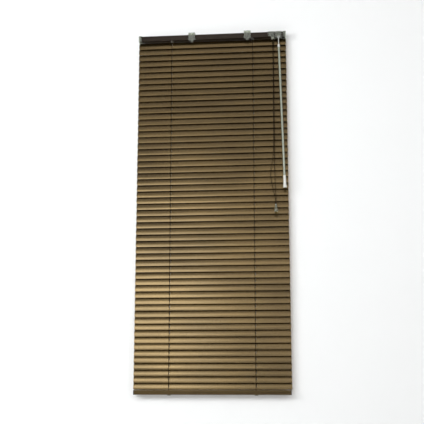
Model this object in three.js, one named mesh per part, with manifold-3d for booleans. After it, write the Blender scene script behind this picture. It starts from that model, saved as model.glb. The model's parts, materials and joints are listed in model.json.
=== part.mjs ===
// A 25 mm aluminium venetian blind, fully lowered with its slats closed.
// Millimetres. X runs along the slats to the right, Y from the room to the window, Z up.
// The origin is midway along the headrail, on the plane of the brackets' top faces.
import * as THREE from 'three';
import { mergeVertices } from 'three/addons/utils/BufferGeometryUtils.js';
import Module from 'manifold-3d';

const wasm = await Module();
wasm.setup();

// ---- Driving dimensions ----
const gap = 0.3; // clearance between pieces that touch
const blindWidth = 520; // over the slats and the end caps
const slatWidth = 25;
const slatThickness = 0.3;
const slatCrown = 1.75;
const slatPitch = 21.5;
const slatCount = 56;
const tiltingSlatCount = 27; // the rest are gathered when the blind is raised, and share one node
const closedAngle = 75; // degrees from level, front edge down
const firstSlatZ = -39.2; // tilt axis of the top slat
const cordSlot = { across: 12, along: 4 };

const ladderX = 143; // each ladder's distance from the middle
const liftCordOffsetX = 1.6; // the lift cord hangs just right of the ladder cords
const ladderRadius = 13.6; // from a slat's tilt axis to its ladder cords
const ladderFrontAngle = 79; // degrees below level at rest, towards the room
const ladderBackAngle = 64.3; // degrees above level at rest, towards the window
const ladderCordRadius = 0.5;
const liftCordRadius = 0.7;

const headrail = { length: 514, width: 25, height: 18, top: -7.5, wall: 0.8, lip: 2.6 };
const rod = { y: 4.5, z: -15, radius: 3 };
const drum = { radius: 6, length: 7, flangeRadius: 6.8, flange: 1 };
const bracket = { width: 24, leftX: -71, rightX: 125, plate: 2.2, wall: 1.6 };
const endCap = { wall: 1.2, depth: 10, rise: 1.5 };

const tilter = { x: 234, width: 22, gearTeeth: 12, gearRadius: 6, wormRadius: 2.5, lean: 40 };
const stem = { radius: 1.2, linkAt: 25.4, end: 29.2, knob: 1.9 }; // distances along the worm's line
const linkRing = { radius: 3.6, wire: 0.55 };
const wandSleeve = { top: -57.8, bottom: -67.3, radius: 3.9 };
const wand = { radius: 3.1, top: -62.1, bottom: -557 };
const wandGrip = { top: -527.5, bottom: -568.5, flare: 6.3 };
const wandLean = 1.5; // degrees to the right, against the hinge's stop

const lock = { x: 209, width: 22, spoutX: 215 };
const clipWall = 1.4; // of the fittings' clips over the headrail's front
const pullCord = { y: -19.2, top: -28, radius: 0.8 };
const tassel = { x: 217, top: -624, bottom: -650, radius: 6.2 };

const innerCordZ = -22.2; // where the lift cords run inside the headrail

const rail = { length: 510, width: 25, height: 15.4, top: -1234.8, wall: 0.8, corner: 3 };

// ---- Materials ----
const finish = (color, roughness, metalness, opacity = 1) =>
  new THREE.MeshStandardMaterial({ color, roughness, metalness, opacity, transparent: opacity < 1 });
const bronze = finish(0x7b6a50, 0.38, 0.75);
const darkBronze = finish(0x3f3022, 0.45, 0.6);
const clearPlastic = finish(0xd8dcd2, 0.2, 0, 0.6);
const whitePlastic = finish(0xe6e6e0, 0.35, 0);
const steel = finish(0x9a9a98, 0.35, 0.9);
const cordBrown = finish(0x2c2118, 0.9, 0);

// ---- Shape helpers ----
const rad = THREE.MathUtils.degToRad;

function toSolid(geometry) {
  const clean = geometry.clone();
  clean.deleteAttribute('normal');
  clean.deleteAttribute('uv');
  const merged = mergeVertices(clean, 1e-4);
  const vertProperties = new Float32Array(merged.attributes.position.array);
  const triVerts = new Uint32Array(merged.index.array);
  return new wasm.Manifold(new wasm.Mesh({ numProp: 3, vertProperties, triVerts }));
}

function toGeometry(solid) {
  const { vertProperties, triVerts } = solid.getMesh();
  const geometry = new THREE.BufferGeometry();
  geometry.setAttribute('position', new THREE.BufferAttribute(vertProperties, 3));
  geometry.setIndex(new THREE.BufferAttribute(triVerts, 1));
  geometry.computeVertexNormals();
  return geometry;
}

const join = (first, ...others) =>
  toGeometry(others.reduce((sum, other) => sum.add(toSolid(other)), toSolid(first)));
const cut = (body, ...tools) =>
  toGeometry(tools.reduce((sum, tool) => sum.subtract(toSolid(tool)), toSolid(body)));

// A box given by its lowest and highest corners.
function block(x0, x1, y0, y1, z0, z1) {
  const geometry = new THREE.BoxGeometry(x1 - x0, y1 - y0, z1 - z0);
  return geometry.translate((x0 + x1) / 2, (y0 + y1) / 2, (z0 + z1) / 2);
}

// A shape drawn in (Y, Z) and drawn out along X from x0 to x1.
function alongX(shape, x0, x1, curveSegments = 4) {
  const settings = { depth: x1 - x0, bevelEnabled: false, curveSegments };
  const turned = new THREE.Matrix4().makeBasis(
    new THREE.Vector3(0, 1, 0), new THREE.Vector3(0, 0, 1), new THREE.Vector3(1, 0, 0));
  return new THREE.ExtrudeGeometry(shape, settings).applyMatrix4(turned).translate(x0, 0, 0);
}

// A shape drawn in (X, Z) and drawn out along Y from y0 to y1.
function alongY(shape, y0, y1, curveSegments = 6) {
  const settings = { depth: y1 - y0, bevelEnabled: false, curveSegments };
  return new THREE.ExtrudeGeometry(shape, settings).rotateX(Math.PI / 2).translate(0, y1, 0);
}

function outline(points) {
  return new THREE.Shape(points.map(([a, b]) => new THREE.Vector2(a, b)));
}

function roundedRectangle(a0, a1, b0, b1, r) {
  const shape = new THREE.Shape();
  shape.moveTo(a0 + r, b0);
  shape.lineTo(a1 - r, b0);
  shape.absarc(a1 - r, b0 + r, r, -Math.PI / 2, 0);
  shape.lineTo(a1, b1 - r);
  shape.absarc(a1 - r, b1 - r, r, 0, Math.PI / 2);
  shape.lineTo(a0 + r, b1);
  shape.absarc(a0 + r, b1 - r, r, Math.PI / 2, Math.PI);
  shape.lineTo(a0, b0 + r);
  shape.absarc(a0 + r, b0 + r, r, Math.PI, Math.PI * 1.5);
  return shape;
}

function rodAlongX(radius, x0, x1, y, z, sides = 16) {
  const geometry = new THREE.CylinderGeometry(radius, radius, x1 - x0, sides);
  return geometry.rotateZ(-Math.PI / 2).translate((x0 + x1) / 2, y, z);
}

// A turned piece about a vertical axis through (x, y), from [radius, z] points listed downwards.
function turned(profile, x, y, sides = 16) {
  const points = profile.map(([r, z]) => new THREE.Vector2(r, z)).reverse();
  return new THREE.LatheGeometry(points, sides).rotateX(Math.PI / 2).translate(x, y, 0);
}

// A route whose tube has one ring at each of its points.
class Route extends THREE.CatmullRomCurve3 {
  getPointAt(u, target) {
    return this.getPoint(u, target);
  }
  getTangentAt(u, target) {
    return this.getTangent(u, target);
  }
}

function cordAlong(points, radius, sides = 8) {
  const section = new THREE.Shape();
  section.absarc(0, 0, radius, 0, Math.PI * 2);
  const extrudePath = new Route(points.map((p) => new THREE.Vector3(...p)));
  const settings = { steps: points.length - 1, bevelEnabled: false, extrudePath };
  return new THREE.ExtrudeGeometry(section, { ...settings, curveSegments: sides / 2 });
}

const group = new THREE.Group();

function add(name, geometry, material, parent = group) {
  const mesh = new THREE.Mesh(geometry, material);
  mesh.name = name;
  parent.add(mesh);
  return mesh;
}

const halfBlind = blindWidth / 2;
const sides = [['left', -1], ['right', 1]];
const slatZ = (index) => firstSlatZ - slatPitch * index;
const headrailBottom = headrail.top - headrail.height;
const headrailFront = -headrail.width / 2;

// ---- Slats ----
// Flat, with the tilt axis on X through the middle of the crown and the convex side up.
function slat() {
  const radius = (slatWidth ** 2 / 4 + slatCrown ** 2) / (2 * slatCrown);
  const half = Math.asin(slatWidth / 2 / radius);
  const segments = 4;
  const arc = (r, from, to) => Array.from({ length: segments + 1 }, (_, i) => {
    const angle = from + ((to - from) * i) / segments;
    return [r * Math.sin(angle), r * Math.cos(angle) - radius];
  });
  const outer = arc(radius + slatThickness / 2, half, -half);
  const inner = arc(radius - slatThickness / 2, -half, half);
  const strip = alongX(outline([...outer, ...inner]), -halfBlind, halfBlind);
  const slots = sides.map(([, side]) => {
    const x = side * ladderX + liftCordOffsetX;
    const { across, along } = cordSlot;
    return block(x - along / 2, x + along / 2, -across / 2, across / 2, -2, 2);
  });
  return cut(strip, ...slots);
}

const slatGeometry = slat();
for (let i = 0; i < tiltingSlatCount; i += 1) {
  const name = `slat_${String(i + 1).padStart(2, '0')}`;
  const mesh = add(name, slatGeometry, bronze);
  mesh.position.z = slatZ(i);
  mesh.rotation.x = rad(closedAngle);
}

// ---- Ladder cords ----
// split is where the cords of the tilting slats end and those of the gathered slats begin.
const ladderFront = {
  y: -ladderRadius * Math.cos(rad(ladderFrontAngle)),
  split: slatZ(tiltingSlatCount - 1) - ladderRadius,
};
const ladderBack = {
  y: ladderRadius * Math.cos(rad(ladderBackAngle)),
  split: slatZ(tiltingSlatCount) + ladderRadius - 1,
};
const ladderTop = headrailBottom - 6;

function upright(x, y, z0, z1, radius) {
  return new THREE.CylinderGeometry(radius, radius, z1 - z0, 6)
    .rotateX(Math.PI / 2)
    .translate(x, y, (z0 + z1) / 2);
}

for (const [side, sign] of sides) {
  for (const [face, { y, split }] of [['front', ladderFront], ['back', ladderBack]]) {
    const cord = upright(sign * ladderX, y, split, ladderTop, ladderCordRadius);
    add(`ladder_${face}_${side}`, cord, cordBrown);
  }
}

// The lower slats hang on their own stretch of ladder cord, which joins them.
function lowerSlats() {
  const parts = [];
  for (let i = tiltingSlatCount; i < slatCount; i += 1) {
    parts.push(slatGeometry.clone().rotateX(rad(closedAngle)).translate(0, 0, slatZ(i)));
  }
  const radius = 0.6; // these run through the slats' edges
  const inset = 0.8;
  for (const [, sign] of sides) {
    for (const [{ y, split }, inwards] of [[ladderFront, inset], [ladderBack, -inset]]) {
      parts.push(upright(sign * ladderX, y + inwards, rail.top + gap, split - gap, radius));
    }
  }
  return join(...parts);
}
add('lower_slats', lowerSlats(), bronze);

// ---- Headrail: a channel open at the top, with rolled lips ----
function headrailChannel() {
  const { length, width, top, wall, lip } = headrail;
  const w = width / 2;
  const bottom = headrailBottom;
  const channel = outline([
    [-w, bottom], [w, bottom], [w, top], [w - lip, top], [w - lip, top - wall],
    [w - wall, top - wall], [w - wall, bottom + wall], [wall - w, bottom + wall],
    [wall - w, top - wall], [lip - w, top - wall], [lip - w, top], [-w, top],
  ]);
  const body = alongX(channel, -length / 2, length / 2);
  const ladderHoles = sides.map(([, sign]) => block(
    sign * ladderX - 2.5, sign * ladderX + 4.5, -8.5, 8.5, bottom - 1, bottom + wall + 0.2));
  const spoutHole = block(
    lock.spoutX - 5.5, lock.spoutX + 5.5, headrailFront - 1, -7.5, bottom - 1, bottom + 5);
  return cut(body, ...ladderHoles, spoutHole, onWormLine(4.2, -7, 26));
}

// ---- Tilt rod, ladder drums and their cradles ----
function bored(body, x0, x1) {
  return cut(body, rodAlongX(rod.radius + gap, x0 - 1, x1 + 1, rod.y, rod.z, 6));
}

function ladderDrum(x) {
  const x0 = x - drum.length / 2 - 1;
  const x1 = x0 + drum.length;
  const spool = join(
    rodAlongX(drum.radius, x0, x1, rod.y, rod.z),
    rodAlongX(drum.flangeRadius, x0, x0 + drum.flange, rod.y, rod.z),
    rodAlongX(drum.flangeRadius, x1 - drum.flange, x1, rod.y, rod.z));
  return bored(spool, x0, x1);
}

// A saddle on the channel's floor, with a cheek on each side of the drum that carries the rod.
function cradle(x) {
  const floor = headrailBottom + headrail.wall + gap;
  const cheek = roundedRectangle(0.3, 11, floor, rod.z + 5.5, 2);
  const base = block(x - 8.5, x + 7, -10.5, 11, floor, floor + 1);
  const left = alongX(cheek, x - 6.9, x - 5.3);
  const right = alongX(cheek, x + 3.3, x + 4.9);
  const ladderOpening = block(x - 1.5, x + 2.9, -8.5, 8.5, floor - 1, floor + 2);
  const cordOpening = block(x + 2.8, x + 5.5, -8.5, 0.5, floor - 1, floor + 2);
  const bore = rodAlongX(rod.radius + 0.6, x - 12, x + 12, rod.y, rod.z);
  return cut(join(base, left, right), ladderOpening, cordOpening, bore);
}

// ---- Tilter: a worm on the wand's stem turns a gear on the tilt rod ----
const lean = rad(tilter.lean);
const wormDirection = new THREE.Vector3(0, -Math.sin(lean), -Math.cos(lean));
const wormDistance = tilter.gearRadius + tilter.wormRadius + 0.9;
const wormStart = new THREE.Vector3(
  tilter.x, rod.y - wormDistance * Math.cos(lean), rod.z + wormDistance * Math.sin(lean));
const alongWorm = (distance) => wormDirection.clone().multiplyScalar(distance).add(wormStart);

// A round bar on the worm's line, between two distances from the point nearest the gear.
function onWormLine(radius, from, to, sidesAround = 12) {
  const bar = new THREE.CylinderGeometry(radius, radius, to - from, sidesAround);
  const turn = new THREE.Quaternion().setFromUnitVectors(new THREE.Vector3(0, 1, 0), wormDirection);
  const middle = alongWorm((from + to) / 2);
  return bar.applyQuaternion(turn).translate(middle.x, middle.y, middle.z);
}

function tilterWorm() {
  const threads = [-4, -2, 0, 2, 4].map((at) => onWormLine(tilter.wormRadius, at - 0.5, at + 0.5));
  const end = alongWorm(stem.end);
  const knob = new THREE.SphereGeometry(stem.knob, 10, 8).translate(end.x, end.y, end.z);
  return join(onWormLine(1.7, -5.5, 18), onWormLine(stem.radius, 17, stem.end), ...threads, knob);
}

function tilterGear() {
  const { x, gearTeeth, gearRadius } = tilter;
  const points = [];
  const step = (Math.PI * 2) / gearTeeth;
  for (let tooth = 0; tooth < gearTeeth; tooth += 1) {
    for (const [share, depth] of [[-0.32, -0.9], [-0.16, 0.8], [0.16, 0.8], [0.32, -0.9]]) {
      const angle = (tooth + share) * step;
      const radius = gearRadius + depth;
      points.push([rod.y + radius * Math.cos(angle), rod.z + radius * Math.sin(angle)]);
    }
  }
  return bored(alongX(outline(points), x - 3.5, x + 3.5), x - 3.5, x + 3.5);
}

// What clips a fitting over the headrail's front wall: a skirt outside and a bridge over the lip.
function frontClip(x0, x1, skirtBottom) {
  const front = headrailFront - 0.4;
  const skirt = block(x0, x1, front - clipWall, front, skirtBottom, headrail.top + 1.3);
  const bridge = block(x0, x1, front - clipWall, -9.4, headrail.top + gap, headrail.top + 1.5);
  return [skirt, bridge];
}

function tilterHousing() {
  const { x, width } = tilter;
  const floor = headrailBottom + headrail.wall + gap;
  const x0 = x - width / 2;
  const x1 = x + width / 2;
  const cheek = outline([
    [-9.6, floor], [10.8, floor], [10.8, headrail.top - 1.5], [-9.6, headrail.top + 1.5]]);
  const shell = join(
    block(x0, x1, -11.2, 11, floor, floor + 1.2),
    alongX(cheek, x0, x0 + 1.6),
    alongX(cheek, x1 - 1.6, x1),
    ...frontClip(x0, x1, headrailBottom - 6),
    onWormLine(3.8, 9.5, 19.5));
  const rodBore = rodAlongX(rod.radius + 0.6, x0 - 1, x1 + 1, rod.y, rod.z);
  return cut(shell, rodBore, onWormLine(2.3, -8, 26));
}

// ---- Wand: a connector hung on the stem's knob, a clear rod and a belled grip ----
const link = alongWorm(stem.linkAt);
link.z -= 0.8; // the ring hangs on the stem, so its middle is lower

// The wand and its connector are drawn upright below the link, and then swung about it.
const swung = (geometry) => geometry
  .translate(-link.x, -link.y, -link.z)
  .rotateY(rad(-wandLean))
  .translate(link.x, link.y, link.z);

function wandConnector() {
  const { top, bottom, radius } = wandSleeve;
  const sleeve = turned([
    [0, top], [radius - 1, top], [radius, top - 1.5], [radius, bottom],
    [wand.radius + gap, bottom], [wand.radius + gap, wand.top + gap], [0, wand.top + gap],
  ], link.x, link.y, 16);
  const ring = new THREE.TorusGeometry(linkRing.radius, linkRing.wire, 6, 16).rotateX(Math.PI / 2);
  const neck = upright(link.x, link.y, top - 1, link.z - linkRing.radius, 1.1);
  return join(ring.translate(link.x, link.y, link.z), neck, sleeve);
}

const wandRod = () => turned([
  [0, wand.top], [wand.radius, wand.top], [wand.radius, wand.bottom], [0, wand.bottom],
], link.x, link.y, 12);

function wandGripBell() {
  const { top, bottom, flare } = wandGrip;
  const bore = wand.radius + gap;
  return turned([
    [0, wand.bottom - gap], [bore, wand.bottom - gap], [bore, top], [bore + 0.9, top],
    [bore + 1.2, bottom + 13], [flare, bottom + 2], [flare - 0.8, bottom], [0, bottom],
  ], link.x, link.y, 16);
}

// ---- Cord lock: a body in the channel with a slanting roller, and a spout for the pull cords ----
function cordLock() {
  const { x, width, spoutX } = lock;
  const floor = headrailBottom + headrail.wall + gap;
  const x0 = x - width / 2;
  const x1 = x + width / 2;
  const spoutFront = pullCord.y - 2.2;
  const body = join(
    block(x0, x1, -9.6, -0.2, floor, headrail.top + 1.5),
    ...frontClip(x0, x1, headrailBottom + 2),
    block(spoutX - 5, spoutX + 5, spoutFront, -8, headrailBottom - 0.8, headrailBottom + 4.5),
    block(spoutX - 5, spoutX + 5, spoutFront, headrailFront - 0.4, headrailBottom - 10, headrailBottom));
  const rollerRoom = block(x - 4, x + 8, -8.6, -1.1, innerCordZ + 1.2, headrail.top + 3);
  const cordRun = block(x0 - 1, x + 2, -6.4, -1.1, innerCordZ - 1.2, innerCordZ + 1.3);
  const spout = block(
    spoutX - 2.5, spoutX + 2.5, pullCord.y - 1.3, pullCord.y + 1.2, headrailBottom - 12, pullCord.top + 0.6);
  return cut(body, rollerRoom, cordRun, spout);
}

const roller = { radius: 2.2, x: lock.x - 1.2, z: innerCordZ + 4, y0: -8.2, y1: -1.5 };
const lockRoller = () => new THREE.CylinderGeometry(roller.radius, roller.radius, roller.y1 - roller.y0, 14)
  .translate(roller.x, (roller.y0 + roller.y1) / 2, roller.z);

// ---- Cords ----
const railInside = rail.top - 6.5;

// Up through the slats, round the edge of the cradle and along the headrail to the lock.
function liftCord(ladderAt, innerY) {
  const x = ladderAt + liftCordOffsetX;
  const bend = 4;
  const points = [[x, 0, railInside], [x, 0, -900], [x, 0, -450], [x, 0, innerCordZ - bend - 4]];
  for (let i = 0; i <= 4; i += 1) {
    const angle = (Math.PI / 8) * i;
    const across = x + bend * (1 - Math.cos(angle));
    points.push([across, innerY * 0.1 * i, innerCordZ - bend * (1 - Math.sin(angle))]);
  }
  points.push([x + 12, innerY, innerCordZ]);
  points.push([(x + 12 + lock.x) / 2, innerY, innerCordZ]);
  points.push([lock.x - 1, innerY, innerCordZ]);
  return cordAlong(points, liftCordRadius);
}

// The two pull cords hang together from the lock, part in a slack bow, and meet at the tassel.
const leftPullRoute = [
  [214, -28], [214, -55], [214, -115], [213.8, -195], [213.5, -275], [213, -355], [212, -415], [209.5, -455],
  [204.5, -485], [200.4, -512], [202, -540], [207.5, -567], [212.6, -592], [215.4, -613], [216.1, -633],
];
const rightPullRoute = [
  [216, -28], [216, -55], [216, -115], [215.8, -195], [215.5, -275], [215.2, -355], [214.8, -415],
  [214.4, -455], [214.2, -485], [214.4, -512], [215, -540], [216, -567], [217, -592], [217.7, -613],
  [217.9, -633],
];
const pullCordAlong = (route) => cordAlong(route.map(([x, z]) => [x, pullCord.y, z]), pullCord.radius);

function tasselBell() {
  const { x, top, bottom, radius } = tassel;
  const throat = 2.1;
  return turned([
    [0, top - 12], [throat, top - 11], [throat, top], [throat + 1.2, top], [throat + 1.6, top - 6],
    [radius - 0.6, top - 20], [radius, bottom + 2], [radius - 1, bottom], [0, bottom],
  ], x, pullCord.y, 16);
}

// ---- Bottom rail ----
const railBottom = rail.top - rail.height;
const railOutline = (inset) => roundedRectangle(
  inset - rail.width / 2, rail.width / 2 - inset, railBottom + inset, rail.top - inset,
  Math.max(rail.corner - inset, 0.5));

function bottomRail() {
  const section = railOutline(0);
  section.holes.push(railOutline(rail.wall));
  const tube = alongX(section, -rail.length / 2, rail.length / 2, 3);
  const holes = sides.flatMap(([, sign]) => {
    const x = sign * ladderX + liftCordOffsetX;
    return [
      block(x - 1.5, x + 1.5, -1.5, 1.5, rail.top - 1.5, rail.top + 1),
      upright(x, 0, railBottom - 1, railBottom + 1.5, 4.4),
    ];
  });
  return cut(tube, ...holes);
}

function railCap(sign) {
  const ends = (a, b) => (sign > 0 ? [a, b] : [-b, -a]);
  const inner = rail.length / 2;
  const plate = alongX(railOutline(0), ...ends(inner + gap, inner + 3), 3);
  const spigot = alongX(railOutline(rail.wall + gap), ...ends(inner - 7, inner + gap + 0.1), 3);
  return join(plate, spigot);
}

function railPlug(x) {
  return turned([
    [0, railBottom + 5], [3.4, railBottom + 5], [3.4, railBottom - gap],
    [6, railBottom - gap], [5.4, railBottom - 1.8], [0, railBottom - 1.8],
  ], x, 0, 12);
}

// ---- Brackets: clear clips that wrap the headrail and are screwed up through their top plate ----
function bracketClip(x) {
  const { width, plate, wall } = bracket;
  const front = headrailFront - gap - 0.2;
  const back = -front;
  const above = headrail.top + gap;
  const x0 = x - width / 2;
  const x1 = x + width / 2;
  const profile = outline([
    [front - wall, headrailBottom - 0.4], [front, headrailBottom - 0.4], [front, above], [back, above],
    [back, headrail.top - 9], [back + wall, headrail.top - 9], [back + wall, above + wall],
    [5, above + wall], [5, -plate], [back + wall, -plate], [back + wall, 0],
    [front - wall, 0], [front - wall, -plate], [-5, -plate], [-5, above + wall],
    [front - wall, above + wall],
  ]);
  const tip = new THREE.Shape();
  const tipRadius = 5;
  tip.moveTo(x0, headrailBottom);
  tip.lineTo(x0, headrailBottom - 1);
  tip.lineTo(x - tipRadius, headrailBottom - 5.5);
  tip.absarc(x, headrailBottom - 5.5, tipRadius, Math.PI, Math.PI * 2);
  tip.lineTo(x1, headrailBottom - 1);
  tip.lineTo(x1, headrailBottom);
  const screwHoles = [-7, 7].map((offset) =>
    upright(x + offset, -9.5, -plate - 1, 1, 1.9));
  const tongue = alongY(tip, front - wall, front);
  return cut(join(alongX(profile, x0, x1), tongue), ...screwHoles);
}

// ---- End caps over the headrail's ends ----
function headrailCap(sign) {
  const { wall, depth, rise } = endCap;
  const ends = (a, b) => (sign > 0 ? [a, b] : [-b, -a]);
  const y = headrail.width / 2 + gap;
  const [x0, x1] = ends(halfBlind - depth, halfBlind);
  const [p0, p1] = ends(halfBlind - depth - 1, headrail.length / 2 + gap);
  return cut(
    block(x0, x1, -y - wall, y + wall, headrailBottom - gap - wall, headrail.top + rise),
    block(p0, p1, -y, y, headrailBottom - gap, headrail.top + gap));
}

add('headrail', headrailChannel(), darkBronze);
add('tilt_rod', rodAlongX(rod.radius, -158, 249.5, rod.y, rod.z, 6), steel);
for (const [side, sign] of sides) {
  add(`end_cap_${side}`, headrailCap(sign), clearPlastic);
  add(`bracket_${side}`, bracketClip(bracket[`${side}X`]), clearPlastic);
  add(`drum_${side}`, ladderDrum(sign * ladderX), whitePlastic);
  add(`cradle_${side}`, cradle(sign * ladderX), whitePlastic);
}
add('tilter_housing', tilterHousing(), clearPlastic);
add('tilter_gear', tilterGear(), whitePlastic);
add('tilter_worm', tilterWorm(), steel);
add('wand_connector', swung(wandConnector()), whitePlastic);
add('wand', swung(wandRod()), clearPlastic);
add('wand_grip', swung(wandGripBell()), whitePlastic);
add('cord_lock', cordLock(), clearPlastic);
add('cord_lock_roller', lockRoller(), steel);
add('lift_cord_left', liftCord(-ladderX, -5), cordBrown);
add('lift_cord_right', liftCord(ladderX, -2.5), cordBrown);
add('pull_cord_left', pullCordAlong(leftPullRoute), cordBrown);
add('pull_cord_right', pullCordAlong(rightPullRoute), cordBrown);
add('tassel', tasselBell(), clearPlastic);
add('bottom_rail', bottomRail(), bronze);
for (const [side, sign] of sides) {
  add(`rail_cap_${side}`, railCap(sign), darkBronze);
  add(`rail_plug_${side}`, railPlug(sign * ladderX + liftCordOffsetX), darkBronze);
}

export default group;
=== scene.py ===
"""A 25 mm aluminium venetian blind, lowered and closed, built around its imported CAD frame."""
import json
import math
import random

import bmesh
import bpy
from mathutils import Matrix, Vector

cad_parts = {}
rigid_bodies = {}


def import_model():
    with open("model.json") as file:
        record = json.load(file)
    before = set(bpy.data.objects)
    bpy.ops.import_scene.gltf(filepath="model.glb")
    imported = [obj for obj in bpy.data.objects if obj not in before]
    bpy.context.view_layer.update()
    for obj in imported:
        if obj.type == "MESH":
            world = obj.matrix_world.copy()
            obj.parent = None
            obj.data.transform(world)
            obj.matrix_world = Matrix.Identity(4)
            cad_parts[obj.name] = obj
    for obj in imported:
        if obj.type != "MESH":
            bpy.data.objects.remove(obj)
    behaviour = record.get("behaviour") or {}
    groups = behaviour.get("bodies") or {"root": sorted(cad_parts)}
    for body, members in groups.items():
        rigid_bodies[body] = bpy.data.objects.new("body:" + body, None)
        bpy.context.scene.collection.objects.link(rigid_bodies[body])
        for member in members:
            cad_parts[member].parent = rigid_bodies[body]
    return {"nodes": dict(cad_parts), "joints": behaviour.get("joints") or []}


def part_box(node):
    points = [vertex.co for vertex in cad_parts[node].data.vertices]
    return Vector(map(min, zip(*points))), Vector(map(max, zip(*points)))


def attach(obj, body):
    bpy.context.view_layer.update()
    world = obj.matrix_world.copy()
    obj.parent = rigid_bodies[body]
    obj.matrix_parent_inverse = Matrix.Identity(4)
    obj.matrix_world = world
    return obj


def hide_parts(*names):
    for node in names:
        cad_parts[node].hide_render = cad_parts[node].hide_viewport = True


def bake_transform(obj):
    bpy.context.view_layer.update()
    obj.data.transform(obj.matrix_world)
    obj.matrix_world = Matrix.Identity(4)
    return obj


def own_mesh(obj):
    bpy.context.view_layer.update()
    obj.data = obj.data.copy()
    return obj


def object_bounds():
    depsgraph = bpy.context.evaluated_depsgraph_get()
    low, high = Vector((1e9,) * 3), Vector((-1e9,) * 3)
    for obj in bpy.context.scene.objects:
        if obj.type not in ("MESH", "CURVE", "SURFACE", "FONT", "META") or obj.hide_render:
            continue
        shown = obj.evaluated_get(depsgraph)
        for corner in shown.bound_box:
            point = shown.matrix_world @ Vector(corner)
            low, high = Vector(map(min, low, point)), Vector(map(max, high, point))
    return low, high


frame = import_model()
cad_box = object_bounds()
MM = 0.001
rng = random.Random(7)

# ---- Driving values, in metres and degrees, most of them read from the frame ----
JOINTS = {j["name"]: j for j in frame["joints"]}
NODES = frame["nodes"]
SLAT_COUNT = 56
TILTING = [n for n in sorted(NODES) if n.startswith("slat_")]
FIRST_AXIS = Vector(JOINTS[TILTING[0] + "_tilt"]["pos_m"])
PITCH = FIRST_AXIS.z - JOINTS[TILTING[1] + "_tilt"]["pos_m"][2]
HALF_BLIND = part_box(TILTING[0])[1].x
CLOSED = math.radians(75)
SLAT_WIDTH = 25 * MM
SLAT_CROWN = 1.75 * MM
SLAT_THICKNESS = 0.24 * MM
SLAT_ARC_RADIUS = (SLAT_WIDTH ** 2 / 4 + SLAT_CROWN ** 2) / (2 * SLAT_CROWN)
SLOT_HALF = (0.95 * MM, 4.5 * MM)  # along the slat, across it
SLAT_CORNER = 4 * MM
SLAT_END_PLAY = 0.9995  # slats are a hair shorter than the CAD ones, so that they can sit askew
LADDER_X = (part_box("ladder_front_right")[0].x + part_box("ladder_front_right")[1].x) / 2
LIFT_FROM_LADDER = 1.6 * MM  # the lift cords and their slots lie just right of the ladders
SIDES = (("left", -1), ("right", 1))
GATHER_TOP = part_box("lower_slats")[1].z


def slat_axis_z(index):
    return FIRST_AXIS.z - PITCH * index


def node_centre(node):
    low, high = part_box(node)
    return (low + high) / 2


def lift_cord_x(side):
    return side * LADDER_X + LIFT_FROM_LADDER


def turned(across, normal, lean):
    """The y and z of a point of a slat's section, from its places across it and square to it."""
    return (across * math.cos(lean) - normal * math.sin(lean),
            across * math.sin(lean) + normal * math.cos(lean))


# ---- Camera: slightly right of the blind and level with its foot, looking up along it ----
CAMERA_PLACE = (0.2605, -2.7882, -1.2017)
CAMERA_RISE = 11.26  # degrees above level
CAMERA_TURN = 5.34  # degrees to the left
CAMERA_LENS = 71.5  # millimetres, on a sensor 36 wide


def make_camera():
    data = bpy.data.cameras.new("camera")
    data.lens = CAMERA_LENS
    data.sensor_width = 36
    camera = bpy.data.objects.new("camera", data)
    camera.location = CAMERA_PLACE
    camera.rotation_euler = (math.radians(90 + CAMERA_RISE), 0, math.radians(CAMERA_TURN))
    bpy.context.collection.objects.link(camera)
    bpy.context.scene.camera = camera


make_camera()


# ---- Materials ----
def blank_material(name):
    made = bpy.data.materials.new(name)
    made.use_nodes = True
    tree = made.node_tree
    return made, tree, tree.nodes["Principled BSDF"]


def node(tree, kind, **values):
    made = tree.nodes.new(kind)
    for key, value in values.items():
        if key in made.inputs:
            made.inputs[key].default_value = value
        else:
            setattr(made, key, value)
    return made


def stretched_noise(tree, scale, stretch, detail=4.0):
    """A noise whose grain is drawn out by the three stretch factors."""
    place = node(tree, "ShaderNodeTexCoord")
    mapping = node(tree, "ShaderNodeMapping", Scale=stretch)
    noise = node(tree, "ShaderNodeTexNoise", Scale=scale, Detail=detail)
    tree.links.new(place.outputs["Object"], mapping.inputs["Vector"])
    tree.links.new(mapping.outputs["Vector"], noise.inputs["Vector"])
    return noise


def ramp(tree, factor, low, high, start=0.3, end=0.7):
    made = node(tree, "ShaderNodeValToRGB")
    first, second = made.color_ramp.elements
    first.position, second.position = start, end
    first.color, second.color = (*low, 1), (*high, 1)
    tree.links.new(factor, made.inputs["Fac"])
    return made


def span(tree, factor, low, high):
    made = node(tree, "ShaderNodeMapRange")
    made.inputs["To Min"].default_value = low
    made.inputs["To Max"].default_value = high
    tree.links.new(factor, made.inputs["Value"])
    return made


def bump(tree, height, shader, strength, distance):
    made = node(tree, "ShaderNodeBump", Strength=strength, Distance=distance)
    tree.links.new(height, made.inputs["Height"])
    tree.links.new(made.outputs["Normal"], shader.inputs["Normal"])


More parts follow.
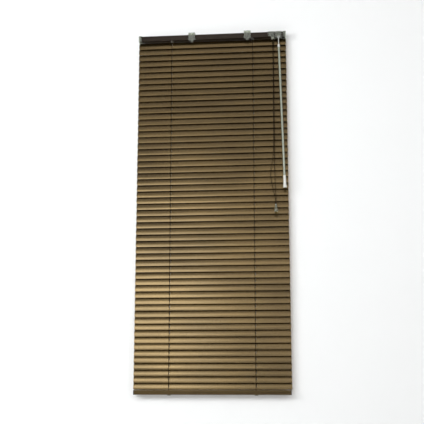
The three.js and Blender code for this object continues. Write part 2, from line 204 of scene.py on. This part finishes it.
def enamel(name, dark, light, roughness, metallic, coat=0.4):
    """Rolled metal under satin enamel: streaks along X, with a fine flake in the gloss."""
    made, tree, shader = blank_material(name)
    streak_share = 0.55
    streaks = stretched_noise(tree, 1.0, stretch=(5, 420, 420), detail=6.0)
    patches = stretched_noise(tree, 1.0, stretch=(3, 14, 9), detail=2.0)
    mixed = node(tree, "ShaderNodeMath", operation="MULTIPLY_ADD")
    mixed.inputs[1].default_value = streak_share
    tree.links.new(streaks.outputs["Fac"], mixed.inputs[0])
    rest = node(tree, "ShaderNodeMath", operation="MULTIPLY")
    rest.inputs[1].default_value = 1 - streak_share
    tree.links.new(patches.outputs["Fac"], rest.inputs[0])
    tree.links.new(rest.outputs["Value"], mixed.inputs[2])
    colour = ramp(tree, mixed.outputs["Value"], dark, light, start=0.38, end=0.62)
    tree.links.new(colour.outputs["Color"], shader.inputs["Base Color"])
    flake = stretched_noise(tree, 1.0, stretch=(260, 2600, 2600), detail=3.0)
    rough = span(tree, flake.outputs["Fac"], roughness - 0.07, roughness + 0.09)
    tree.links.new(rough.outputs["Result"], shader.inputs["Roughness"])
    shader.inputs["Metallic"].default_value = metallic
    shader.inputs["Coat Weight"].default_value = coat
    shader.inputs["Coat Roughness"].default_value = roughness * 0.7
    bump(tree, flake.outputs["Fac"], shader, strength=0.25, distance=0.02 * MM)
    return made


def plastic(name, colour, roughness, transmission=0.0, variation=0.08):
    """Moulded plastic with faint flow marks; clear grades let light through and cloud it."""
    made, tree, shader = blank_material(name)
    marks = stretched_noise(tree, 260.0, stretch=(1, 1, 0.4), detail=3.0)
    darker = tuple(c * (1 - variation) for c in colour)
    tint = ramp(tree, marks.outputs["Fac"], darker, colour)
    tree.links.new(tint.outputs["Color"], shader.inputs["Base Color"])
    rough = span(tree, marks.outputs["Fac"], roughness * 0.8, roughness * 1.25)
    tree.links.new(rough.outputs["Result"], shader.inputs["Roughness"])
    shader.inputs["Transmission Weight"].default_value = transmission
    shader.inputs["IOR"].default_value = 1.47
    bump(tree, marks.outputs["Fac"], shader, strength=0.15, distance=0.05 * MM)
    return made


def braid(name, dark, light, pitch):
    """Braided cord: two crossing sets of diagonal strands, with painted shade in the grooves
    between them.
    """
    made, tree, shader = blank_material(name)
    place = node(tree, "ShaderNodeTexCoord")
    strand_lean = 0.7
    waves = []
    for way in (1, -1):
        mapping = node(tree, "ShaderNodeMapping", Rotation=(0, way * strand_lean, 0))
        wave = node(tree, "ShaderNodeTexWave", Scale=1 / pitch, Distortion=0.4)
        wave.bands_direction = "Z"
        tree.links.new(place.outputs["Object"], mapping.inputs["Vector"])
        tree.links.new(mapping.outputs["Vector"], wave.inputs["Vector"])
        waves.append(wave)
    both = node(tree, "ShaderNodeMath", operation="MAXIMUM")
    for socket, wave in zip(both.inputs, waves):
        tree.links.new(wave.outputs["Fac"], socket)
    # painted shade: the ramp gives the grooves between the strands a darker base colour than the
    # strands
    colour = ramp(tree, both.outputs["Value"], dark, light)
    tree.links.new(colour.outputs["Color"], shader.inputs["Base Color"])
    shader.inputs["Roughness"].default_value = 0.85
    shader.inputs["Specular IOR Level"].default_value = 0.05
    bump(tree, both.outputs["Value"], shader, strength=0.6, distance=0.1 * MM)
    return made


def plated_steel(name):
    made, tree, shader = blank_material(name)
    grain = stretched_noise(tree, 1.0, stretch=(60, 1200, 1200), detail=5.0)
    tint = ramp(tree, grain.outputs["Fac"], (0.42, 0.42, 0.43), (0.62, 0.62, 0.6))
    tree.links.new(tint.outputs["Color"], shader.inputs["Base Color"])
    rough = span(tree, grain.outputs["Fac"], 0.25, 0.42)
    tree.links.new(rough.outputs["Result"], shader.inputs["Roughness"])
    shader.inputs["Metallic"].default_value = 1.0
    bump(tree, grain.outputs["Fac"], shader, strength=0.2, distance=0.03 * MM)
    return made


BRONZE = ((0.06, 0.038, 0.011), (0.105, 0.068, 0.023))
DARK_BRONZE = ((0.009, 0.005, 0.0025), (0.019, 0.0115, 0.006))
SLAT_PAINT = enamel("slat_enamel", *BRONZE, roughness=0.25, metallic=0.95)
RAIL_PAINT = enamel("rail_enamel", *BRONZE, roughness=0.3, metallic=0.95)
HEADRAIL_PAINT = enamel("headrail_enamel", *DARK_BRONZE, roughness=0.3, metallic=0.7, coat=0.05)
CLEAR = plastic("clear_plastic", (0.72, 0.76, 0.64), 0.1, transmission=0.93)
WAND_CLEAR = plastic("wand_clear", (0.56, 0.6, 0.5), 0.16, transmission=0.45)
WHITE = plastic("white_plastic", (0.74, 0.74, 0.7), 0.35)
BROWN_PLASTIC = plastic("brown_plastic", (0.045, 0.03, 0.018), 0.5)
STEEL = plated_steel("plated_steel")
CORD = braid("brown_cord", (0.003, 0.002, 0.001), (0.014, 0.009, 0.005), pitch=0.6 * MM)


# ---- Mesh helpers ----
def finish_piece(name, mesh, material, body, replaced=(), smooth=35):
    mesh.materials.append(material)
    mesh.polygons.foreach_set("use_smooth", [True] * len(mesh.polygons))
    mesh.set_sharp_from_angle(angle=math.radians(smooth))
    piece = bpy.data.objects.new(name, mesh)
    bpy.context.collection.objects.link(piece)
    if body:
        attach(piece, body)
    if replaced:
        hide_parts(*replaced)
    return piece


def to_mesh(name, bm):
    bmesh.ops.recalc_face_normals(bm, faces=bm.faces)
    mesh = bpy.data.meshes.new(name)
    bm.to_mesh(mesh)
    bm.free()
    return mesh


def add_ring_tube(bm, points, radius, sides):
    """A closed round tube through the points, with a ring of vertices at each."""
    points = [Vector(p) for p in points]
    radii = radius if isinstance(radius, (list, tuple)) else [radius] * len(points)
    tangent = (points[1] - points[0]).normalized()
    across = tangent.orthogonal().normalized()
    rings = []
    for i, point in enumerate(points):
        ahead = points[min(i + 1, len(points) - 1)] - points[max(i - 1, 0)]
        turn = tangent.rotation_difference(ahead.normalized())
        tangent = ahead.normalized()
        across = (turn @ across).normalized()
        other = tangent.cross(across)
        ring = []
        for k in range(sides):
            angle = 2 * math.pi * k / sides
            offset = across * math.cos(angle) + other * math.sin(angle)
            ring.append(bm.verts.new(point + offset * radii[i]))
        rings.append(ring)
    for low, high in zip(rings, rings[1:]):
        for k in range(sides):
            m = (k + 1) % sides
            bm.faces.new((low[k], low[m], high[m], high[k]))
    bm.faces.new(reversed(rings[0]))
    bm.faces.new(rings[-1])


def add_turned(bm, profile, x, y, steps=40):
    """A turned solid about a vertical axis, from (radius, z) points that start and end on it."""
    loops = []
    for radius, z in profile:
        if radius < 1e-7:
            loops.append([bm.verts.new((x, y, z))])
            continue
        loops.append([
            bm.verts.new((x + radius * math.cos(a), y + radius * math.sin(a), z))
            for a in (2 * math.pi * k / steps for k in range(steps))])
    for first, second in zip(loops, loops[1:]):
        for k in range(steps):
            m = (k + 1) % steps
            if len(first) == 1:
                bm.faces.new((first[0], second[k], second[m]))
            elif len(second) == 1:
                bm.faces.new((first[k], second[0], first[m]))
            else:
                bm.faces.new((first[k], second[k], second[m], first[m]))


# ---- Slats ----
def slat_points_across():
    """Places across the slat, with a line on each end of the cord slots."""
    inner = [SLOT_HALF[1] * k / 4 for k in range(-4, 5)]
    rim = SLAT_WIDTH / 2
    outer = [rim * 0.62, rim * 0.76, rim * 0.9, rim * 0.97, rim]
    return [-v for v in reversed(outer)] + inner + outer


def slat_points_along():
    """Places along the slat: close together at the ends and the slots, wide apart between."""
    ends = [HALF_BLIND - SLAT_CORNER * v for v in (0, 0.04, 0.15, 0.35, 0.65, 1)]
    wide = [HALF_BLIND * k / 9 for k in range(-8, 9)]
    slots = []
    for _, side in SIDES:
        middle = lift_cord_x(side)
        slots += [middle + SLOT_HALF[0] * v for v in (-1.6, -1, -0.5, 0.5, 1, 1.6)]
    clear = [v for v in wide if all(abs(v - s) > 6 * MM for s in slots)]
    return sorted([-v for v in ends] + ends + clear + slots)


def corner_narrowing(x):
    """How much of its full width the slat keeps at x, where its corners are rounded."""
    into = max(0.0, abs(x) - (HALF_BLIND - SLAT_CORNER)) / SLAT_CORNER
    trim = SLAT_CORNER * (1 - math.sqrt(max(0.0, 1 - into ** 2)))
    return 1 - 2 * trim / SLAT_WIDTH


def slat_grid(bm, index, across, along):
    """Rows of vertices over one rolled slat, with a little wear in its lean, bow and place."""
    lean = CLOSED + math.radians(rng.uniform(-0.7, 0.7))
    bow = rng.uniform(-0.25, 0.25) * MM
    shift = rng.uniform(-0.25, 0.25) * MM
    drop = rng.uniform(-0.15, 0.15) * MM
    grid = []
    for x in along:
        narrow = corner_narrowing(x)
        sag = bow * (1 - (x / HALF_BLIND) ** 2)
        row = []
        for place in across:
            s = place * narrow
            y, z = turned(s, -s * s / (2 * SLAT_ARC_RADIUS), lean)
            row.append(bm.verts.new((
                x * SLAT_END_PLAY + shift, y, slat_axis_z(index) + z + sag + drop)))
        grid.append(row)
    return grid


def slat_sheet(index):
    """One slat in place: a thin rolled sheet with two cord slots and softened corners."""
    across, along = slat_points_across(), slat_points_along()
    bm = bmesh.new()
    grid = slat_grid(bm, index, across, along)
    middles = [lift_cord_x(side) for _, side in SIDES]
    for i in range(len(along) - 1):
        x = (along[i] + along[i + 1]) / 2
        for j in range(len(across) - 1):
            s = (across[j] + across[j + 1]) / 2
            in_slot = any(abs(x - m) < SLOT_HALF[0] for m in middles) and abs(s) < SLOT_HALF[1]
            if not in_slot:
                bm.faces.new((grid[i][j], grid[i + 1][j], grid[i + 1][j + 1], grid[i][j + 1]))
    loose = [v for v in bm.verts if not v.link_faces]
    bmesh.ops.delete(bm, geom=loose, context="VERTS")
    bmesh.ops.solidify(bm, geom=bm.faces[:], thickness=SLAT_THICKNESS)
    return to_mesh(f"slat_{index + 1:02d}_skin", bm)


def build_slats():
    for index in range(SLAT_COUNT):
        name = f"slat_{index + 1:02d}"
        tilting = index < len(TILTING)
        body = name if tilting else "headrail"
        mesh = slat_sheet(index)
        piece = finish_piece(name + "_skin", mesh, SLAT_PAINT, body)
        if tilting:
            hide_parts(name)
            continue
        if index == len(TILTING):
            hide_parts("lower_slats")
        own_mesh(piece)


build_slats()

# ---- Ladder and lift cords ----
FRONT_Y = node_centre("ladder_front_right").y
BACK_Y = node_centre("ladder_back_right").y
RUNG_REACH = 13.6 * MM  # from a slat's axis to where its rung meets a ladder cord
FRONT_DROP = math.sqrt(RUNG_REACH ** 2 - FRONT_Y ** 2)
BACK_RISE = math.sqrt(RUNG_REACH ** 2 - BACK_Y ** 2)
LADDER_CORD = 0.6 * MM
RUNG_CORD = 0.3 * MM
LIFT_CORD = 0.65 * MM


def rung_points(x, index):
    """A thread from the front cord under the slat to the back cord."""
    z = slat_axis_z(index)
    front = Vector((x, FRONT_Y, z - FRONT_DROP))
    back = Vector((x, BACK_Y, z + BACK_RISE))
    overhang, clearance, sag = 0.6 * MM, 0.7 * MM, 1.0 * MM
    steps = 8
    points = []
    for k in range(steps + 1):
        share = k / steps
        s = (share - 0.5) * (SLAT_WIDTH + overhang)
        n = -s * s / (2 * SLAT_ARC_RADIUS) - clearance - sag * (1 - (2 * share - 1) ** 2)
        y, up = turned(s, n, CLOSED)
        points.append(Vector((x, y, z + up)))
    return [front] + points + [back]


def build_ladders():
    split = {"front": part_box("ladder_front_left")[0].z, "back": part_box("ladder_back_left")[0].z}
    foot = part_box("bottom_rail")[1].z
    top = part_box("ladder_front_left")[1].z
    for side, sign in SIDES:
        x = sign * LADDER_X
        for face, y in (("front", FRONT_Y), ("back", BACK_Y)):
            name = f"ladder_{face}_{side}"
            bm = bmesh.new()
            add_ring_tube(bm, [(x, y, top), (x, y, split[face])], LADDER_CORD, 8)
            finish_piece(name + "_cord", to_mesh(name, bm), CORD, f"ladder_{face}", [name])
            bm = bmesh.new()
            add_ring_tube(bm, [(x, y, split[face]), (x, y, foot)], LADDER_CORD, 8)
            low = finish_piece(name + "_gathered", to_mesh(name, bm), CORD, "headrail")
            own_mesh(low)
        bm_low = bmesh.new()
        for index in range(SLAT_COUNT):
            name = f"slat_{index + 1:02d}_rung_{side}"
            if index < len(TILTING):
                bm = bmesh.new()
                add_ring_tube(bm, rung_points(x, index), RUNG_CORD, 6)
                finish_piece(name, to_mesh(name, bm), CORD, TILTING[index])
            else:
                add_ring_tube(bm_low, rung_points(x, index), RUNG_CORD, 6)
        name = f"rungs_gathered_{side}"
        low = finish_piece(name, to_mesh(name, bm_low), CORD, "headrail")
        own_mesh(low)


build_ladders()


def build_lift_cords():
    """Each lift cord: a stretch inside the headrail and the tilting slats, and one that gathers."""
    inner_z = -22.2 * MM  # where they run along the headrail
    lock_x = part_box("cord_lock")[0].x + 10 * MM
    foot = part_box("lift_cord_left")[0].z
    bend = 4 * MM
    bend_steps = 8
    for (side, sign), inner_y in zip(SIDES, (-5 * MM, -2.5 * MM)):
        x = lift_cord_x(sign)
        points = [(x, 0, GATHER_TOP), (x, 0, inner_z - 2.2 * bend)]
        for k in range(bend_steps + 1):
            angle = math.pi / 2 * k / bend_steps
            points.append((x + bend * (1 - math.cos(angle)), inner_y * 0.05 * k,
                           inner_z - bend * (1 - math.sin(angle))))
        points += [(x + 12 * MM, inner_y, inner_z), (lock_x, inner_y, inner_z)]
        bm = bmesh.new()
        add_ring_tube(bm, points, LIFT_CORD, 10)
        name = f"lift_cord_{side}"
        finish_piece(name + "_upper", to_mesh(name, bm), CORD, "headrail", [name])
        bm = bmesh.new()
        add_ring_tube(bm, [(x, 0, GATHER_TOP), (x, 0, foot)], LIFT_CORD, 10)
        low = finish_piece(name + "_lower", to_mesh(name, bm), CORD, "headrail")
        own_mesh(low)


build_lift_cords()

# ---- Pull cords and tassel ----
PULL_Y = node_centre("pull_cord_left").y
PULL_CORD = 0.8 * MM
# The same points as the CAD cords, (x, z) in millimetres.
PULL_ROUTES = {
    "left": [
        (214, -28), (214, -55), (214, -115), (213.8, -195), (213.5, -275), (213, -355), (212, -415),
        (209.5, -455), (204.5, -485), (200.4, -512), (202, -540), (207.5, -567), (212.6, -592),
        (215.4, -613), (216.1, -633)],
    "right": [
        (216, -28), (216, -55), (216, -115), (215.8, -195), (215.5, -275), (215.2, -355),
        (214.8, -415), (214.4, -455), (214.2, -485), (214.4, -512), (215, -540), (216, -567),
        (217, -592), (217.7, -613), (217.9, -633)],
}


def smooth_route(points, steps=4):
    """A Catmull-Rom line through the points."""
    points = [Vector(p) for p in points]
    padded = [2 * points[0] - points[1]] + points + [2 * points[-1] - points[-2]]
    line = []
    for i in range(1, len(padded) - 2):
        a, b, c, d = padded[i - 1:i + 3]
        for k in range(steps):
            t = k / steps
            line.append(0.5 * (2 * b + (c - a) * t + (2 * a - 5 * b + 4 * c - d) * t ** 2
                               + (3 * b - a - 3 * c + d) * t ** 3))
    return line + [points[-1]]


def tassel_profile(radius, low, high):
    """The bell's (radius, z) points: a throat for the cords, a collar and a flared skirt."""
    throat = 2.1 * MM
    collar = throat + 1.3 * MM
    return [
        (0, high - 12 * MM), (throat, high - 11.5 * MM), (throat, high - 0.3 * MM),
        (throat + 0.3 * MM, high), (throat + 1.0 * MM, high), (collar, high - 0.4 * MM),
        (collar, high - 5 * MM), (radius * 0.66, high - 9 * MM), (radius * 0.8, high - 14 * MM),
        (radius * 0.92, high - 19 * MM), (radius, low + 2.4 * MM), (radius, low + 1.2 * MM),
        (radius * 0.95, low + 0.3 * MM), (radius * 0.86, low), (0, low),
    ]


def build_tassel():
    low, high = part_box("tassel")
    x, y = (low.x + high.x) / 2, (low.y + high.y) / 2
    bm = bmesh.new()
    add_turned(bm, tassel_profile((high.x - low.x) / 2, low.z, high.z), x, y)
    mesh = to_mesh("tassel", bm)
    return finish_piece("tassel_bell", mesh, CLEAR, "tassel", ["tassel"])


def build_pull_cords(bell):
    for side, _ in SIDES:
        route = smooth_route([(x * MM, PULL_Y, z * MM) for x, z in PULL_ROUTES[side]])
        bm = bmesh.new()
        add_ring_tube(bm, route, PULL_CORD, 12)
        name = f"pull_cord_{side}"
        piece = finish_piece(name + "_braid", to_mesh(name, bm), CORD, None)
        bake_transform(piece)
        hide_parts(name)


build_pull_cords(build_tassel())

# ---- CAD nodes that stay, with their finishes ----
KEPT = {
    "headrail": HEADRAIL_PAINT, "tilt_rod": STEEL, "tilter_worm": STEEL, "cord_lock_roller": STEEL,
    "end_cap_left": CLEAR, "end_cap_right": CLEAR, "bracket_left": CLEAR, "bracket_right": CLEAR,
    "tilter_housing": CLEAR, "cord_lock": CLEAR, "drum_left": WHITE, "drum_right": WHITE,
    "cradle_left": WHITE, "cradle_right": WHITE, "tilter_gear": WHITE, "wand_connector": WHITE,
    "wand": WAND_CLEAR, "wand_grip": WHITE, "bottom_rail": RAIL_PAINT,
    "rail_cap_left": BROWN_PLASTIC, "rail_cap_right": BROWN_PLASTIC,
    "rail_plug_left": BROWN_PLASTIC, "rail_plug_right": BROWN_PLASTIC,
}
for name, material in KEPT.items():
    kept = NODES[name]
    kept.data.materials.clear()
    kept.data.materials.append(material)


# ---- Stage and light ----
BLIND_MIDDLE = Vector((0, 0, -0.6))
COOL = (0.93, 0.97, 1.0)
WALL_GAP = 0.008
FLOOR_DROP = 0.6
STAGE_REACH = 4.0
STAGE_TOP = 2.5


def stage_plane(name, corners, material):
    mesh = bpy.data.meshes.new(name)
    mesh.from_pydata(corners, [], [(0, 1, 2, 3)])
    mesh.materials.append(material)
    plane = bpy.data.objects.new(name, mesh)
    bpy.context.collection.objects.link(plane)
    return plane


def stage_material(name, colour):
    """Matt from the front, and nothing at all from behind."""
    made, tree, shader = blank_material(name)
    shader.inputs["Base Color"].default_value = (*colour, 1)
    shader.inputs["Roughness"].default_value = 0.9
    shader.inputs["Specular IOR Level"].default_value = 0.0
    clear = node(tree, "ShaderNodeBsdfTransparent")
    mix = node(tree, "ShaderNodeMixShader")
    geometry = node(tree, "ShaderNodeNewGeometry")
    out = tree.nodes["Material Output"]
    tree.links.new(geometry.outputs["Backfacing"], mix.inputs["Fac"])
    tree.links.new(shader.outputs["BSDF"], mix.inputs[1])
    tree.links.new(clear.outputs["BSDF"], mix.inputs[2])
    tree.links.new(mix.outputs["Shader"], out.inputs["Surface"])
    return made


def area_light(name, place, size, power, colour=(1, 1, 1)):
    """A soft panel of the given size in metres and power in watts, turned to the blind's middle."""
    data = bpy.data.lights.new(name, "AREA")
    data.shape = "RECTANGLE"
    data.size, data.size_y = size
    data.energy = power
    data.color = colour
    light = bpy.data.objects.new(name, data)
    light.location = place
    light.rotation_euler = (BLIND_MIDDLE - Vector(place)).to_track_quat("-Z", "Y").to_euler()
    bpy.context.collection.objects.link(light)
    return light


def light_only_slats(light, stage):
    """This light passes through the stage and falls on nothing but the slats."""
    slats = bpy.data.collections.new(f"{light.name}_falls_on")
    for piece in list(bpy.data.objects):
        if piece.name.endswith("_skin"):
            slats.objects.link(piece)
    light.light_linking.receiver_collection = slats
    passed = bpy.data.collections.new(f"{light.name}_passes")
    for piece in stage:
        passed.objects.link(piece)
    light.light_linking.blocker_collection = passed
    for member in passed.collection_objects:
        member.light_linking.link_state = "EXCLUDE"


def build_backdrop():
    """A pale room around the front of the blind, and a floor behind its wall."""
    white = stage_material("stage_white", (0.95, 0.95, 0.945))
    floor_z = cad_box[0].z - FLOOR_DROP
    wall_y = cad_box[1].y + WALL_GAP
    reach, top = STAGE_REACH, STAGE_TOP
    foot = [(-reach, wall_y), (reach, wall_y), (reach, -reach), (-reach, -reach)]
    names = ("wall", "right_wall", "near_wall", "left_wall")
    walls = [stage_plane(name, [(*a, floor_z), (*b, floor_z), (*b, top), (*a, top)], white)
             for name, a, b in zip(names, foot, foot[1:] + foot[:1])]
    floor = stage_plane("floor", [(*p, floor_z) for p in reversed(foot)], white)
    behind = [(-reach, wall_y), (reach, wall_y), (reach, reach), (-reach, reach)]
    stage_plane("back_floor", [(*p, floor_z) for p in behind], white)
    return walls[0], floor


def build_lights(wall, floor):
    area_light("key", (-0.75, -2.3, -0.15), (1.1, 0.9), 16, COOL)
    area_light("low_right", (0.15, -2.3, -0.15), (0.7, 0.9), 1.5, COOL)
    area_light("left_wash", (-2.2, -2.3, -0.2), (1.0, 1.0), 32)
    area_light("front", (-0.1, -2.95, 0.6), (1.8, 3.2), 19)
    area_light("ceiling", (-0.1, -2.0, 2.1), (1.8, 1.2), 6)
    area_light("right_fill", (2.1, -2.3, 0.0), (1.3, 1.3), 11)
    behind = area_light("behind", (-0.9, 1.9, -1.2), (2.2, 1.2), 150)
    light_only_slats(behind, (wall, floor))


def dim_the_world():
    world = bpy.data.worlds.new("world")
    world.use_nodes = True
    background = world.node_tree.nodes["Background"]
    background.inputs["Color"].default_value = (1, 1, 1, 1)
    background.inputs["Strength"].default_value = 0.02
    bpy.context.scene.world = world
    bpy.context.scene.view_settings.view_transform = "Standard"


build_lights(*build_backdrop())
dim_the_world()
